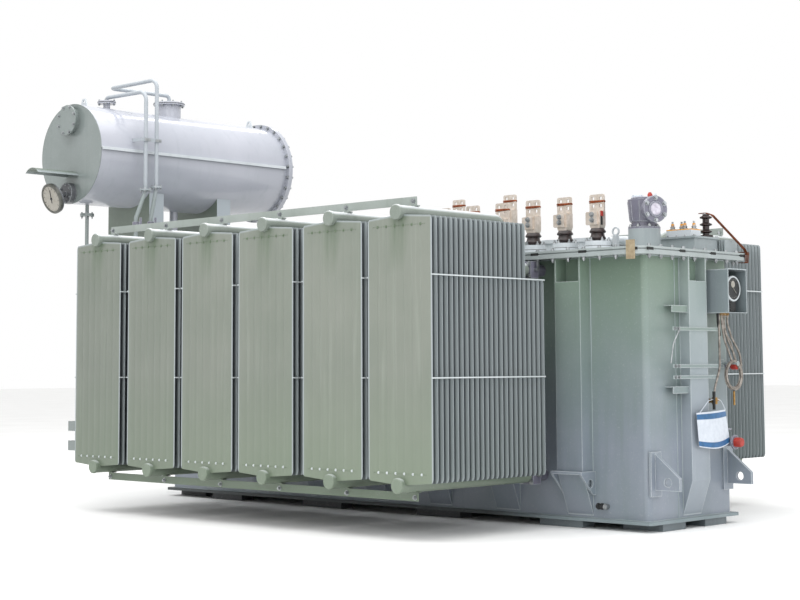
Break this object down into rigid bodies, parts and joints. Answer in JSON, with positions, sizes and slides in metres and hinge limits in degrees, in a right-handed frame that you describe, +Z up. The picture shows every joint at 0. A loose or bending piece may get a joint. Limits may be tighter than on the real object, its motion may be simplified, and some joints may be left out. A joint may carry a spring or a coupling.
{
  "type": "rectifier transformer",
  "caption": "Oil-immersed rectifier transformer with panel radiators along both sides, a drum conservator across one end and bushings on its cover.",
  "frame": {"origin": "on the ground under the middle of the whole footprint", "axes": "+X along the radiator rows towards the cover end with the tap changer and thermometer, +Y across the tank away from the side seen in the picture, +Z up"},
  "size_m": [5.895, 3.688, 3.3915],
  "materials": {
    "tank_paint": "satin blue-grey oil-resistant enamel over sheet steel",
    "radiator_paint": "satin grey-green enamel, flow-coated over thin pressed steel",
    "conservator_paint": "gloss pale grey enamel over rolled sheet steel",
    "porcelain": "dark brown glazed porcelain",
    "tinned": "dull tin-plated copper",
    "cast_head": "grey enamel over cast aluminium",
    "gasket_rubber": "dark nitrile rubber sheet",
    "yellow_rubber": "orange-yellow silicone rubber",
    "gauge_face": "grey dial face in a dark cast case",
    "valve_body": "painted cast iron"
  },
  "bodies": {
    "root": {"aux_studs": "yellow_rubber", "aux_terminal_box": "cast_head", "base_feet": "tank_paint", "capillary_bulb": "tinned", "capillary_coil": "gasket_rubber", "capillary_tube": "gasket_rubber", "coil_peg": "tank_paint", "conservator_drain": "tank_paint", "conservator_end_cover": "conservator_paint", "conservator_manhole": "conservator_paint", "conservator_near_end": "conservator_paint", "conservator_necks": "conservator_paint", "conservator_rib_and_lugs": "conservator_paint", "conservator_saddles": "conservator_paint", "conservator_shell": "conservator_paint", "drain_valve": "valve_body", "earth_bushing": "porcelain", "end_bars": "tank_paint", "end_shelves": "tank_paint", "gauge_hood": "conservator_paint", "header_rails": "radiator_paint", "hv_bushing_seats": "tank_paint", "hv_porcelains": "porcelain", "hv_terminals": "tinned", "jacking_pads": "tank_paint", "level_gauge": "gauge_face", "lv_bushing_seats": "tank_paint", "lv_porcelains": "porcelain", "lv_terminals": "tinned", "main_oil_pipe": "conservator_paint", "pull_lugs": "tank_paint", "radiator_back_1": "radiator_paint", "radiator_back_2": "radiator_paint", "radiator_back_3": "radiator_paint", "radiator_back_4": "radiator_paint", "radiator_back_5": "radiator_paint", "radiator_back_6": "radiator_paint", "radiator_front_1": "radiator_paint", "radiator_front_2": "radiator_paint", "radiator_front_3": "radiator_paint", "radiator_front_4": "radiator_paint", "radiator_front_5": "radiator_paint", "radiator_front_6": "radiator_paint", "radiator_valves": "valve_body", "ribbed_block": "tank_paint", "rim_gasket": "gasket_rubber", "stiffeners_back": "tank_paint", "stiffeners_ends": "tank_paint", "stiffeners_front": "tank_paint", "tank_bottom": "tank_paint", "tank_cover": "tank_paint", "tank_rim": "tank_paint", "tank_shell": "tank_paint", "tap_changer_head": "cast_head", "tap_changer_turret": "tank_paint", "terminal_turret": "tank_paint", "thermometer": "gauge_face", "thermometer_hood": "tank_paint", "vent_bracket": "conservator_paint", "vent_pipes": "conservator_paint"}
  },
  "joints": []
}
